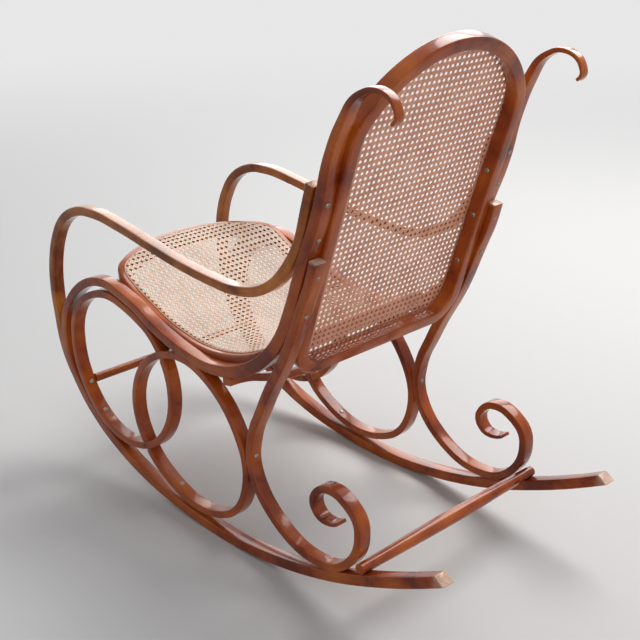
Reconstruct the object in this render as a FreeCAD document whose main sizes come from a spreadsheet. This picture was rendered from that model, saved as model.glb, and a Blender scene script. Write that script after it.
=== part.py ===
import FreeCAD, Part
import math
import os

# Bentwood rocking chair: two bent side frames joined by dowels, a caned saddle
# seat and a caned arched back. It faces -Y, +Z is up and X = 0 is the middle.
# Two mirror-image side frames stand frame_spacing apart. Each one is a main
# strip (runner, front bend, seat rail, upright and top scroll in one piece), an
# arm, two closed rings and a rear scroll, all bent in the frame's own plane.

V = FreeCAD.Vector
doc = FreeCAD.newDocument("bentwood_rocking_chair")

SIZES = [
    ("frame_spacing", 485),
    ("strip_depth", 28),
    ("arm_depth", 26),
    ("ring_thickness", 16),
    ("hook_depth", 18),
    ("hook_start", 325),
    ("hook_end", 455),
    ("hook_foot", 850),
    ("joint_gap", 0.2),
    ("front_dowel", 20),
    ("rear_dowel", 22),
    ("seat_rail_width", 27),
    ("seat_rail_height", 32),
    ("seat_front", -446),
    ("seat_rear", 134),
    ("seat_corner", 55),
    ("seat_shoulder", 62),
    ("seat_shoulder_drop", 110),
    ("back_lean", 17.5),
    ("back_foot_offset", 172),
    ("back_foot_height", 419),
    ("back_length", 657),
    ("back_corner", 70),
    ("back_shoulder", 110),
    ("back_shoulder_drop", 174),
    ("back_rail_width", 26),
    ("back_rail_depth", 30),
    ("groove_inset", 9),
    ("groove_width", 5),
    ("groove_depth", 5),
    ("cane_thickness", 1.4),
    ("cane_lift", 0.4),
    ("cane_fold", 25),
    ("cane_pitch", 60),
    ("cane_gap", 50),
    ("brace_width", 25),
    ("brace_thickness", 16),
    ("brace_place", 26),
    ("screw_head", 9),
    ("screw_dome", 2.6),
]

sheet = doc.addObject("Spreadsheet::Sheet", "sizes")
for row, (alias, value) in enumerate(SIZES, start=1):
    sheet.set("A%d" % row, alias)
    sheet.set("B%d" % row, str(value))
    sheet.setAlias("B%d" % row, alias)
doc.recompute()


def size(alias):
    return float(sheet.get(alias))


# Centre lines of the strips in the side frame's plane: (Y, Z, thickness).
MAIN = [
    (585, 190, 22), (451, 121, 22.5), (313, 65.5, 22.5), (169, 28.5, 22.5),
    (22, 11.7, 22.5), (-106, 16.2, 22.5), (-226, 33, 22.5), (-341, 68, 22.5),
    (-426, 112, 22.5), (-493, 169, 22.5), (-534, 228, 22), (-548, 290, 21),
    (-538, 345, 20), (-505, 396, 19.5), (-380, 462, 19.5), (-296, 447, 19.5),
    (-191, 407, 20.5), (-96, 385, 21.5), (-36, 381, 22), (70, 407, 26),
    (186, 516, 26), (206, 563, 25), (239, 659, 24), (280, 769, 23),
    (307, 870, 20.5), (327, 919, 17.5), (372, 983, 11), (399, 994, 9),
    (446, 971, 7.5), (449, 957, 7), (440, 946, 6.5),
]
ARM = [
    (-522, 199, 20), (-549, 239, 20), (-565, 282, 20), (-573, 331, 20),
    (-579, 379, 22), (-578, 440, 22), (-554, 521, 21.5), (-529, 560, 21),
    (-450, 606, 20.5), (-402, 611, 20), (-296, 602, 19), (-206, 588, 18.5),
    (-106, 574, 18.5), (-5, 567, 19), (45, 567, 19.5), (145, 597, 20),
    (216, 674, 20), (256, 790, 20), (263, 815, 20),
]
FRONT_RING = [
    (-291, 424), (-382, 435), (-496, 356), (-507, 264), (-468, 175), (-393, 116),
    (-302, 106), (-213, 145), (-157, 261), (-206, 381),
]
REAR_RING = [
    (-86, 370), (-184, 357.6), (-260, 296), (-285, 203), (-247, 117), (-168, 62),
    (-74, 42), (-28, 49), (46, 91), (77, 167), (29, 299), (-48, 357),
]
REAR_SCROLL = [
    (269, 680, 15), (257, 631, 19), (239, 586, 20), (201, 492, 21), (132, 359, 20),
    (95, 269, 18), (90, 222, 17), (105, 177, 16), (167, 112, 16), (253, 80, 16),
    (341, 99, 17), (386, 175, 17), (381, 211, 17), (354, 237, 17), (321, 249, 16),
    (282, 237, 14.5), (268, 200, 12.5), (284, 181, 10.5), (310, 178, 8.5), (332, 186, 7),
]

# Top line of the saddle seat in side view: (Y, Z).
SEAT_LINE = [
    (-466, 510), (-396, 499), (-283, 447), (-180, 412), (-76, 400), (44, 424), (154, 490),
]

# Centre line of the brace under the seat, seen from the front: (X, drop from the rails).
BRACE_HALF = [(0, -37), (75, -34), (150, -21), (215, -3), (254, 0)]


def unit(vector):
    return vector * (1.0 / vector.Length)


def headings(points, closed):
    """Direction of a smooth curve at each point, from the chords on both sides."""
    count = len(points)
    found = [None] * count
    for i in range(count):
        if closed or 0 < i < count - 1:
            back = points[i] - points[i - 1]
            ahead = points[(i + 1) % count] - points[i]
            found[i] = unit(unit(back) * ahead.Length + unit(ahead) * back.Length)
    if not closed:
        first = unit(points[1] - points[0])
        last = unit(points[-1] - points[-2])
        found[0] = first * (2 * first.dot(found[1])) - found[1]
        found[-1] = last * (2 * last.dot(found[-2])) - found[-2]
    return found


def arc(start, heading, end):
    """The arc that leaves start along heading and ends at end."""
    chord = end - start
    turn = math.atan2(heading.x * chord.y - heading.y * chord.x, heading.dot(chord))
    if abs(turn) < 0.0005:
        return Part.LineSegment(start, end)
    bulge = V(chord.y, -chord.x, 0) * (0.5 * math.tan(turn / 2))
    return Part.Arc(start, (start + end) * 0.5 + bulge, end)


def smooth_chain(points, directions, closed=False):
    """Two tangent arcs from each point to the next one."""
    edges = []
    for i in range(len(points) if closed else len(points) - 1):
        j = (i + 1) % len(points)
        gap = points[j] - points[i]
        along = gap.dot(directions[i] + directions[j])
        spread = 2 * (1 - directions[i].dot(directions[j]))
        square = gap.dot(gap)
        reach = square / (along + math.sqrt(along * along + spread * square))
        out = points[i] + directions[i] * reach
        back = points[j] - directions[j] * reach
        middle = (out + back) * 0.5
        edges.append(arc(points[i], directions[i], middle))
        edges.append(arc(middle, unit(back - out), points[j]))
    return edges


def offset_chain(nodes, distances, closed=False):
    """A smooth chain beside the nodes, at its own distance from each one."""
    points = [V(node[0], node[1], 0) for node in nodes]
    directions = headings(points, closed)
    moved = []
    for point, direction, distance in zip(points, directions, distances):
        moved.append(point + V(-direction.y, direction.x, 0) * distance)
    return moved, smooth_chain(moved, directions, closed)


def band(nodes, above, below, closed=False):
    """Outline between two lines beside the nodes, with straight ends if open."""
    upper, edges = offset_chain(nodes, above, closed)
    lower, more = offset_chain(nodes, [-value for value in below], closed)
    edges = edges + more
    if not closed:
        edges.append(Part.LineSegment(upper[0], lower[0]))
        edges.append(Part.LineSegment(upper[-1], lower[-1]))
    return edges


def strip(nodes, grow=0.0, closed=False):
    """Outline of a bent strip: its thickness is shared by both sides of the line."""
    half = [(node[2] if len(node) > 2 else size("ring_thickness")) / 2 + grow for node in nodes]
    return band(nodes, half, half, closed)


def arched_loop(half, foot, crown, corner, shoulder, shoulder_at, inset, sign=1):
    """A straight-sided loop with a round foot and an arched crown, moved in by inset."""
    reach = half - shoulder
    rise = crown - shoulder_at
    arch = (reach ** 2 + rise ** 2 - shoulder ** 2) / (2 * (rise - shoulder))
    centre = crown - arch
    lean = math.atan2(reach, shoulder_at - centre)
    wide = half - inset
    low = foot + inset
    diagonal = (corner - inset) * math.sqrt(0.5)
    edges = []

    def point(x, y):
        return V(x, sign * y, 0)

    for side in (1, -1):
        turn = (math.pi / 2 - lean) / 2
        joint = point(side * (arch - inset) * math.sin(lean), centre + (arch - inset) * math.cos(lean))
        edges.append(Part.LineSegment(point(side * wide, foot + corner), point(side * wide, shoulder_at)))
        edges.append(Part.Arc(
            point(side * wide, shoulder_at),
            point(side * (reach + (shoulder - inset) * math.cos(turn)),
                  shoulder_at + (shoulder - inset) * math.sin(turn)),
            joint))
        edges.append(Part.Arc(
            point(side * wide, foot + corner),
            point(side * (half - corner + diagonal), foot + corner - diagonal),
            point(side * (half - corner), low)))
        if side == 1:
            right_joint = joint
    edges.append(Part.Arc(right_joint, point(0, crown - inset), joint))
    edges.append(Part.LineSegment(point(half - corner, low), point(corner - half, low)))
    return edges


def wire_of(edges):
    return Part.Wire([edge.toShape() for edge in edges])


def origin_plane(body, role):
    return next(item for item in body.Origin.OriginFeatures if item.Role == role)


def padded_body(label, role, edges, length, through=True):
    """A body padded evenly to both sides of one of its origin planes."""
    body = doc.addObject("PartDesign::Body", label)
    body.Label = label
    sketch = body.newObject("Sketcher::SketchObject", label + "_sketch")
    sketch.AttachmentSupport = (origin_plane(body, role), [""])
    sketch.MapMode = "FlatFace"
    sketch.addGeometry(edges)
    pad = body.newObject("PartDesign::Pad", label + "_pad")
    pad.Profile = sketch
    pad.SideType = "Symmetric"
    pad.setExpression("Length", length)
    doc.recompute()
    return body


def to_side_frame(body):
    body.setExpression("Placement.Base.x", "sizes.frame_spacing / 2")
    return body


def combined(kind, label, base, tool):
    result = doc.addObject(kind, label)
    result.Label = label
    result.Base = base
    result.Tool = tool
    return result


def fused(label, pieces):
    result = doc.addObject("Part::MultiFuse", label)
    result.Label = label
    result.Shapes = pieces
    return result


nodes = []


def keep(*items):
    nodes.extend(items)


def mirrored(source, label):
    twin = doc.addObject("Part::Mirroring", label)
    twin.Label = label
    twin.Source = source
    twin.Normal = V(1, 0, 0)
    return twin


# The bent strips of the left side frame, and slightly larger copies of the
# pieces that the others are shaped to fit.
gap = size("joint_gap")
depth = "sizes.strip_depth"
over = "sizes.strip_depth + 4"


def strip_body(label, line, length=depth, closed=False):
    return to_side_frame(padded_body(label, "YZ_Plane", strip(line, 0, closed), length))


def strip_tool(label, line, closed=False):
    return to_side_frame(padded_body(label, "YZ_Plane", strip(line, gap, closed), over))


main_blank = strip_body("main_strip_blank", MAIN)
arm_blank = strip_body("arm_blank", ARM, "sizes.arm_depth")
front_ring_blank = strip_body("front_ring_blank", FRONT_RING, closed=True)
rear_ring_blank = strip_body("rear_ring_blank", REAR_RING, closed=True)
scroll_blank = strip_body("rear_scroll_blank", REAR_SCROLL)
main_tool = strip_tool("main_strip_clearance", MAIN)
front_ring_tool = strip_tool("front_ring_clearance", FRONT_RING, True)
rear_ring_tool = strip_tool("rear_ring_clearance", REAR_RING, True)

arm = combined("Part::Cut", "left_arm", arm_blank, main_tool)

# Towards its hook at the top, the main strip loses depth on both sides.


def hook_wedge(label, side):
    """The wedge, seen from above, that comes off one side of the hook."""
    wide = side * size("strip_depth") / 2
    narrow = side * size("hook_depth") / 2
    start, end = size("hook_start"), size("hook_end")
    corners = [V(wide, start, 0), V(wide + side, start, 0), V(wide + side, end, 0), V(narrow, end, 0)]
    edges = [Part.LineSegment(corners[k - 1], corners[k]) for k in range(4)]
    body = to_side_frame(padded_body(label, "XY_Plane", edges, "400"))
    body.setExpression("Placement.Base.z", "sizes.hook_foot + 200")
    return body


main_strip = combined("Part::Cut", "left_main_strip", main_blank,
                      fused("hook_taper", [hook_wedge("hook_outer_wedge", 1),
                                           hook_wedge("hook_inner_wedge", -1)]))

# The rings are halved into each other where they cross: the rear ring's outer
# half runs on at the top crossing and the front ring's at the bottom one.


def lap_block(label, low, high, outer):
    """Half of the frame's depth between two heights, outside or inside its middle."""
    block = doc.addObject("Part::Box", label)
    block.Length = 30
    block.Width = 400
    block.Height = high - low
    block.Placement.Base = V(0, -426, low)
    shift = "- sizes.joint_gap / 2" if outer else "+ sizes.joint_gap / 2 - 30"
    block.setExpression("Placement.Base.x", "sizes.frame_spacing / 2 " + shift)
    return block


crossing = 240
outer_laps = fused("front_ring_lap_space", [
    lap_block("top_outer_lap", crossing, 460, True), lap_block("bottom_inner_lap", 20, crossing, False)])
inner_laps = fused("rear_ring_lap_space", [
    lap_block("top_inner_lap", crossing, 460, False), lap_block("bottom_outer_lap", 20, crossing, True)])
front_lap = combined("Part::Common", "front_ring_lap", outer_laps, rear_ring_tool)
rear_lap = combined("Part::Common", "rear_ring_lap", inner_laps, front_ring_tool)
front_ring = combined("Part::Cut", "left_front_ring", front_ring_blank,
                      fused("front_ring_cuts", [main_tool, front_lap]))
rear_ring = combined("Part::Cut", "left_rear_ring", rear_ring_blank,
                     fused("rear_ring_cuts", [main_tool, rear_lap]))
rear_scroll = combined("Part::Cut", "left_rear_scroll", scroll_blank,
                       fused("rear_scroll_cuts", [main_tool, rear_ring_tool]))
doc.recompute()

side_frame = [main_strip, arm, front_ring, rear_ring, rear_scroll]
for piece in side_frame:
    keep(piece, mirrored(piece, piece.Label.replace("left_", "right_")))

# Seat: a loop seen from above, bent to the saddle line seen from the side.
half_width = size("frame_spacing") / 2 - size("strip_depth") / 2 - gap
rear, front = size("seat_rear"), -size("seat_front")


def seat_loop(inset):
    return arched_loop(half_width, -rear, front, size("seat_corner"), size("seat_shoulder"),
                       front - size("seat_shoulder_drop"), inset, -1)


def saddle_body(label, above, below):
    """A sheet that follows the saddle line, between two distances from it."""
    count = len(SEAT_LINE)
    return padded_body(label, "YZ_Plane", band(SEAT_LINE, [above] * count, [below] * count),
                       "sizes.frame_spacing")


def folded_saddle(label):
    """The cane's sheet: narrow flat strips just above the saddle line."""
    line = wire_of(offset_chain(SEAT_LINE, [size("cane_lift")] * len(SEAT_LINE))[1])
    lower = line.discretize(int(line.Length / size("cane_fold")) + 1)
    upper = [point + V(0, thick, 0) for point in lower]
    corners = lower + upper[::-1]
    edges = [Part.LineSegment(corners[k - 1], corners[k]) for k in range(len(corners))]
    return padded_body(label, "YZ_Plane", edges, "sizes.frame_spacing")


def seat_column(label, edges):
    body = padded_body(label, "XY_Plane", edges, "200")
    body.Placement.Base.z = 440
    return body


rail = size("seat_rail_width")
inset = size("groove_inset")
groove = size("groove_width")
groove_at = rail - inset - groove
thick = size("cane_thickness")
saddle = combined("Part::Common", "seat_frame_blank",
                  seat_column("seat_frame_column", seat_loop(0) + seat_loop(rail)),
                  saddle_body("seat_frame_saddle", 0, size("seat_rail_height")))
seat_groove = combined("Part::Common", "seat_groove",
                       seat_column("seat_groove_column", seat_loop(groove_at) + seat_loop(groove_at + groove)),
                       saddle_body("seat_groove_saddle", 8, size("groove_depth")))
seat_frame = combined("Part::Cut", "seat_frame", saddle, seat_groove)
seat_spline = combined("Part::Common", "seat_spline",
                       seat_column("seat_spline_column",
                                   seat_loop(groove_at + gap) + seat_loop(groove_at + groove - gap)),
                       saddle_body("seat_spline_saddle", 1.6, size("groove_depth") - gap))


def cane_gaps(outline, low, high):
    """Diamond gaps on a square grid, kept clear of the outline."""
    face = Part.Face(Part.Wire(Part.__sortEdges__([edge.toShape() for edge in outline])))
    pitch = size("cane_pitch")
    reach = size("cane_gap") / 2
    edges = []
    count = int((high - low) / pitch)
    start = (low + high) / 2 - (count - 1) * pitch / 2
    for row in range(count):
        for column in range(-4, 5):
            x, y = column * pitch, start + row * pitch
            corners = [V(x + reach, y, 0), V(x, y + reach, 0), V(x - reach, y, 0), V(x, y - reach, 0)]
            if all(face.isInside(corner, 0.01, False) for corner in corners):
                for k in range(4):
                    edges.append(Part.LineSegment(corners[k], corners[(k + 1) % 4]))
    return edges


margin = groove_at + groove
seat_open = cane_gaps(seat_loop(rail + 3), size("seat_front"), rear)
seat_cane = combined("Part::Common", "seat_cane",
                     seat_column("seat_cane_column", seat_loop(margin) + seat_open),
                     folded_saddle("seat_cane_saddle"))
keep(seat_frame, seat_cane, seat_spline)

# Back: a flat arched loop that leans back between the uprights.
back_length = size("back_length")
back_rail = size("back_rail_width")
back_depth = size("back_rail_depth")


def back_loop(inset):
    return arched_loop(half_width, 0, back_length, size("back_corner"), size("back_shoulder"),
                       back_length - size("back_shoulder_drop"), inset)


def lean_back(body, forward=0.0):
    """Tilts a body drawn upright and moves it forward of the back's middle plane."""
    tilt = FreeCAD.Rotation(V(1, 0, 0), -size("back_lean"))
    foot = V(0, size("back_foot_offset"), size("back_foot_height"))
    body.Placement = FreeCAD.Placement(foot + tilt.multVec(V(0, -forward, 0)), tilt)
    return body


back_blank = padded_body("back_frame_blank", "XZ_Plane", back_loop(0) + back_loop(back_rail),
                         "sizes.back_rail_depth")
lean_back(back_blank)
back_inset = back_rail - inset - groove
groove_ring = padded_body("back_groove", "XZ_Plane",
                          back_loop(back_inset) + back_loop(back_inset + groove), "10")
lean_back(groove_ring, back_depth / 2)
back_frame = combined("Part::Cut", "back_frame", back_blank, groove_ring)
spline_depth = size("groove_depth") - gap + 1.6
back_spline = padded_body("back_spline", "XZ_Plane",
                          back_loop(back_inset + gap) + back_loop(back_inset + groove - gap),
                          "sizes.groove_depth - sizes.joint_gap + 1.6")
lean_back(back_spline, back_depth / 2 + 1.6 - spline_depth / 2)
back_open = cane_gaps(back_loop(back_rail + 3), 0, back_length)
back_cane = padded_body("back_cane", "XZ_Plane", back_loop(back_inset + groove) + back_open,
                        "sizes.cane_thickness")
lean_back(back_cane, back_depth / 2 + 0.1 + thick / 2)
keep(back_frame, back_cane, back_spline)


# Dowels between the side frames.
def on_strip(line, near, side, closed=False):
    """Point and outward direction on one face of a strip, nearest to a place."""
    half = [(node[2] if len(node) > 2 else size("ring_thickness")) / 2 for node in line]
    face = wire_of(offset_chain(line, [side * value for value in half], closed)[1])
    centre = wire_of(offset_chain(line, [0] * len(line), closed)[1])
    point = face.distToShape(Part.Vertex(V(near[0], near[1], 0)))[1][0][0]
    middle = centre.distToShape(Part.Vertex(point))[1][0][0]
    return point, unit(point - middle)


def dowel(label, diameter, length, y, z):
    body = doc.addObject("Part::Cylinder", label)
    body.Label = label
    body.setExpression("Radius", diameter + " / 2")
    body.setExpression("Height", length)
    body.Placement = FreeCAD.Placement(V(0, y, z), FreeCAD.Rotation(V(0, 1, 0), 90))
    body.setExpression("Placement.Base.x", "-(" + length + ") / 2")
    return body


front_dowel = dowel("front_stretcher", "sizes.front_dowel",
                    "sizes.frame_spacing - sizes.strip_depth - 2 * sizes.joint_gap", -476, 197)
rest, up = on_strip(MAIN, (398, 110), -1)
centre = rest + up * (size("rear_dowel") / 2 + gap)
rear_dowel = dowel("rear_stretcher", "sizes.rear_dowel",
                   "sizes.frame_spacing + sizes.strip_depth", centre.x, centre.y)
keep(front_dowel, rear_dowel)

# Brace: a strip that hangs in a shallow curve under the two seat rails.
brace_thick = size("brace_thickness")
brace_line = [(-x, z, brace_thick) for x, z in reversed(BRACE_HALF[1:])]
brace_line += [(x, z, brace_thick) for x, z in BRACE_HALF]
brace = padded_body("seat_brace", "XZ_Plane", strip(brace_line), "sizes.brace_width")
rest, down = on_strip(MAIN, (size("brace_place"), 378), -1)
middle = rest + down * (brace_thick / 2 + gap)
brace.Placement = FreeCAD.Placement(V(0, middle.x, middle.y), FreeCAD.Rotation(V(0, 0, -1), V(0, down.x, down.y)))
keep(brace)

# Domed screw heads, each one a six-sided dome in two steps.
def ring_wire(radius, height):
    corners = []
    for k in range(7):
        turn = 2 * math.pi * k / 6
        corners.append(V(radius * math.cos(turn), radius * math.sin(turn), height))
    return Part.makePolygon(corners)


rim = size("screw_head") / 2
dome = size("screw_dome")
head_shape = Part.makeLoft([
    ring_wire(rim, 0), ring_wire(rim * 0.86, dome * 0.6), ring_wire(rim * 0.45, dome)], True, True)

screw_clearance = 0.3


def screw_at(point, direction):
    """A copy of the screw head with its flat side on the point."""
    head = head_shape.copy()
    seat = FreeCAD.Placement(point + direction * screw_clearance, FreeCAD.Rotation(V(0, 0, 1), direction))
    head.Placement = seat
    return head


def screw_group(label, heads):
    group = doc.addObject("Part::Feature", label)
    group.Label = label
    group.Shape = Part.makeCompound(heads)
    group.Placement = FreeCAD.Placement()
    return group


# Each screw: strip, place (Y, Z), which face of the strip, closed ring or not.
FRAME_SCREWS = [
    (MAIN, (310, 782), -1, False), (MAIN, (285, 712), -1, False),
    (REAR_SCROLL, (279, 646), 1, False), (REAR_SCROLL, (251, 563), 1, False),
    (REAR_SCROLL, (104, 230), 1, False),
    (FRONT_RING, (-470, 194), 1, True), (FRONT_RING, (-420, 143), 1, True),
    (REAR_RING, (-148, 63), 1, True),
]
frame_heads = []
for line, near, side, closed in FRAME_SCREWS:
    point, outward = on_strip(line, near, side, closed)
    place = V(size("frame_spacing") / 2, point.x, point.y)
    frame_heads.append(screw_at(place, V(0, outward.x, outward.y)))
left_screws = screw_group("left_frame_screws", frame_heads)
right_screws = mirrored(left_screws, "right_frame_screws")

back_heads = []
for height in (142, 252, 352):
    for side in (1, -1):
        tilt = FreeCAD.Rotation(V(1, 0, 0), -size("back_lean"))
        foot = V(0, size("back_foot_offset"), size("back_foot_height"))
        place = foot + tilt.multVec(V(side * (half_width - back_rail), 0, height))
        back_heads.append(screw_at(place, V(-side, 0, 0)))
back_screws = screw_group("back_frame_screws", back_heads)
keep(left_screws, right_screws, back_screws)

# Checks and export.
doc.recompute()
for item in doc.Objects:
    if "Invalid" in item.State or "Error" in item.State:
        raise RuntimeError("%s did not build: %s" % (item.Label, item.State))
os.makedirs("parts", exist_ok=True)
for piece in nodes:
    shape = piece.Shape
    if shape.isNull() or not shape.isValid() or not shape.Solids:
        raise RuntimeError("%s has no valid solid" % piece.Label)
    shape.exportStep(os.path.join("parts", piece.Label + ".step"))
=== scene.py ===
import math
import bpy
import bmesh
import numpy as np
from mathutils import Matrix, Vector


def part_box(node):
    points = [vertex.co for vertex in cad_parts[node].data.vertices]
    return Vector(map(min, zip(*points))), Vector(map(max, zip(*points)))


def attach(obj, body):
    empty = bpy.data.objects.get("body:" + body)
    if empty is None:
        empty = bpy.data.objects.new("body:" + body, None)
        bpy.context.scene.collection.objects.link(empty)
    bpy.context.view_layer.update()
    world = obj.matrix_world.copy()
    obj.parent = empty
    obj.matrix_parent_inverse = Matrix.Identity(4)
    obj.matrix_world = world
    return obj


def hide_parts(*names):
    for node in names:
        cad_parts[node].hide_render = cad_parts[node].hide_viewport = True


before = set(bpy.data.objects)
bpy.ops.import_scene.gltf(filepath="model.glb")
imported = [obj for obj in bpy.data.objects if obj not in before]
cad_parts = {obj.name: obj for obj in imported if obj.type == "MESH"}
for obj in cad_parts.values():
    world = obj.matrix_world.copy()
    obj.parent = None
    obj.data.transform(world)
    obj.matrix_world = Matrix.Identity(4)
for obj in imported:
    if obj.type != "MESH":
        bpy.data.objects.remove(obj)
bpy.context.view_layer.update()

# Shapes are worked out in millimetres, and new_piece turns them into metres.
# The model faces -Y with Z up, and its left side frame is the one at +X.
MM = 0.001

# Centre lines in a side frame's plane: (Y, Z, thickness), as in the CAD.
MAIN = [
    (585, 190, 22), (451, 121, 22.5), (313, 65.5, 22.5), (169, 28.5, 22.5),
    (22, 11.7, 22.5), (-106, 16.2, 22.5), (-226, 33, 22.5), (-341, 68, 22.5),
    (-426, 112, 22.5), (-493, 169, 22.5), (-534, 228, 22), (-548, 290, 21),
    (-538, 345, 20), (-505, 396, 19.5), (-380, 462, 19.5), (-296, 447, 19.5),
    (-191, 407, 20.5), (-96, 385, 21.5), (-36, 381, 22), (70, 407, 26),
    (186, 516, 26), (206, 563, 25), (239, 659, 24), (280, 769, 23),
    (307, 870, 20.5), (327, 919, 17.5), (372, 983, 11), (399, 994, 9),
    (446, 971, 7.5), (449, 957, 7), (440, 946, 6.5),
]
ARM = [
    (-522, 199, 20), (-549, 239, 20), (-565, 282, 20), (-573, 331, 20),
    (-579, 379, 22), (-578, 440, 22), (-554, 521, 21.5), (-529, 560, 21),
    (-450, 606, 20.5), (-402, 611, 20), (-296, 602, 19), (-206, 588, 18.5),
    (-106, 574, 18.5), (-5, 567, 19), (45, 567, 19.5), (145, 597, 20),
    (216, 674, 20), (256, 790, 20), (263, 815, 20),
]
# The scroll's cut upper end is thicker here than in the CAD, as the photo shows it.
REAR_SCROLL = [
    (271, 679, 19), (257.5, 631, 19.5), (239, 586, 20), (201, 492, 21), (132, 359, 20),
    (95, 269, 18), (90, 222, 17), (105, 177, 16), (167, 112, 16), (253, 80, 16),
    (341, 99, 17), (386, 175, 17), (381, 211, 17), (354, 237, 17), (321, 249, 16),
    (282, 237, 14.5), (268, 200, 12.5), (284, 181, 10.5), (310, 178, 8.5), (332, 186, 7),
]
# The closed rings have one thickness: (Y, Z).
RING_THICKNESS = 16
FRONT_RING = [
    (-291, 424), (-382, 435), (-496, 356), (-507, 264), (-468, 175), (-393, 116),
    (-302, 106), (-213, 145), (-157, 261), (-206, 381),
]
REAR_RING = [
    (-86, 370), (-184, 357.6), (-260, 296), (-285, 203), (-247, 117), (-168, 62),
    (-74, 42), (-28, 49), (46, 91), (77, 167), (29, 299), (-48, 357),
]
# Top of the seat from front to rear (Y, Z), and half of the brace under it (X, height).
SADDLE = [(-466, 510), (-396, 499), (-283, 447), (-180, 412), (-76, 400), (44, 424), (154, 490)]
BRACE_HALF = [(0, -37), (75, -34), (150, -21), (215, -3), (254, 0)]

# Depth of the strips across the chair, and the brace's section and tilt.
STRIP_DEPTH = 28
ARM_DEPTH = 26
BRACE_WIDTH = 25
BRACE_THICKNESS = 16
BRACE_TILT = math.radians(11)
STRETCHER_RADIUS = 10
REAR_STRETCHER_RADIUS = 11

# Seat and back: (width, depth) of the rails, the groove for the spline, and the
# loops' outlines, which start at the seat's rear and at the back's foot.
SEAT_RAIL = (27, 32)
BACK_RAIL = (26, 30)
GROOVE_INSET = 9
GROOVE_WIDTH = 5
SEAT_LOOP = dict(foot=-134, crown=446, corner=55, shoulder=62, shoulder_at=336)
BACK_LOOP = dict(foot=0, crown=657, corner=70, shoulder=110, shoulder_at=483)
BACK_LEAN = math.radians(17.5)
BACK_FOOT = (172, 419)

# Rounding of the edges, and the faces that each quarter turn is cut into.
STRIP_ROUNDING = 2.2
ARM_ROUNDING = 3.0
SEAT_ROUNDING = 6.0
BACK_ROUNDING = 4.0
BRACE_ROUNDING = 4.0
STRIP_CUTS = 4
LOOP_CUTS = 5
SPLINE_CUTS = 3

# How the skins are made: spacing of sections, flattest turn that is still an arc,
# largest part of a side that a corner takes, and the angle that stays a sharp edge.
LINE_STEP = 6.0
STRAIGHT = 0.002
ROUNDING_LIMIT = 0.47
SHARP_ANGLE = math.radians(38)

# Ends of open strips: the last section steps back, and a smaller one closes it. The
# runner's cut slants by MAIN_SLANT, which fades out along SLANT_REACH times as much.
END_STEP_BACK = 0.8
END_SHARE = 0.93
END_GRAIN_STEP = 0.5
MAIN_SLANT = 11.0
SLANT_REACH = 2.5

# Places in the grain, in millimetres, so that each piece and cut end has its own.
MIRROR_GRAIN = 2711
END_GRAIN = 1000
END_GRAIN_SQUASH = 0.2
DOWEL_GRAIN = 3000
STRAND_GRAIN = 37.0
STRAND_END_GRAIN = 0.5

low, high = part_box("left_main_strip")
side_x = (low.x + high.x) / 2 / MM
half_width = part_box("back_frame")[1].x / MM


# Lines and skins
def directions(points, closed):
    """Direction of a smooth line at each point, from the chords on both sides."""
    count = len(points)
    found = [None] * count
    for i in range(count):
        if closed or 0 < i < count - 1:
            back = points[i] - points[i - 1]
            ahead = points[(i + 1) % count] - points[i]
            mixed = back / np.linalg.norm(back) * np.linalg.norm(ahead)
            mixed = mixed + ahead / np.linalg.norm(ahead) * np.linalg.norm(back)
            found[i] = mixed / np.linalg.norm(mixed)
    if not closed:
        first = (points[1] - points[0]) / np.linalg.norm(points[1] - points[0])
        last = (points[-1] - points[-2]) / np.linalg.norm(points[-1] - points[-2])
        found[0] = 2 * first.dot(found[1]) * first - found[1]
        found[-1] = 2 * last.dot(found[-2]) * last - found[-2]
    return found


def arc(start, heading, end, step):
    """Points after start on the arc that leaves it along heading and ends at end."""
    chord = end - start
    length = np.linalg.norm(chord)
    turn = math.atan2(heading[0] * chord[1] - heading[1] * chord[0], heading.dot(chord))
    count = max(2, int(math.ceil(length / step)))
    if abs(turn) < STRAIGHT:
        return [start + chord * k / count for k in range(1, count + 1)]
    radius = length / (2 * math.sin(turn))
    centre = start + radius * np.array([-heading[1], heading[0]])
    spoke = start - centre
    points = []
    for k in range(1, count + 1):
        angle = 2 * turn * k / count
        cos, sin = math.cos(angle), math.sin(angle)
        points.append(centre + np.array([cos * spoke[0] - sin * spoke[1],
                                         sin * spoke[0] + cos * spoke[1]]))
    return points


def smooth_line(nodes, closed=False, step=LINE_STEP):
    """Points and thickness along two tangent arcs between each pair of nodes."""
    points = [np.array(node[:2], float) for node in nodes]
    thick = [node[2] if len(node) > 2 else RING_THICKNESS for node in nodes]
    heading = directions(points, closed)
    line, widths = [points[0]], [thick[0]]
    for i in range(len(points) if closed else len(points) - 1):
        j = (i + 1) % len(points)
        gap = points[j] - points[i]
        along = gap.dot(heading[i] + heading[j])
        spread = 2 * (1 - heading[i].dot(heading[j]))
        square = gap.dot(gap)
        reach = square / (along + math.sqrt(along * along + spread * square))
        out = points[i] + heading[i] * reach
        back = points[j] - heading[j] * reach
        middle = (out + back) / 2
        run = arc(points[i], heading[i], middle, step)
        run += arc(middle, (back - out) / np.linalg.norm(back - out), points[j], step)
        line += run
        widths += [thick[i] + (thick[j] - thick[i]) * k / len(run) for k in range(1, len(run) + 1)]
    if closed:
        line.pop()
        widths.pop()
    return np.array(line), np.array(widths)


def line_frame(line, closed):
    """Left-hand normals and running length of a line of points."""
    if closed:
        ahead = np.roll(line, -1, axis=0) - np.roll(line, 1, axis=0)
    else:
        ahead = np.gradient(line, axis=0)
    ahead = ahead / np.linalg.norm(ahead, axis=1)[:, None]
    normal = np.column_stack([-ahead[:, 1], ahead[:, 0]])
    steps = np.linalg.norm(np.diff(line, axis=0), axis=1)
    return normal, np.concatenate([[0], np.cumsum(steps)])


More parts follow.
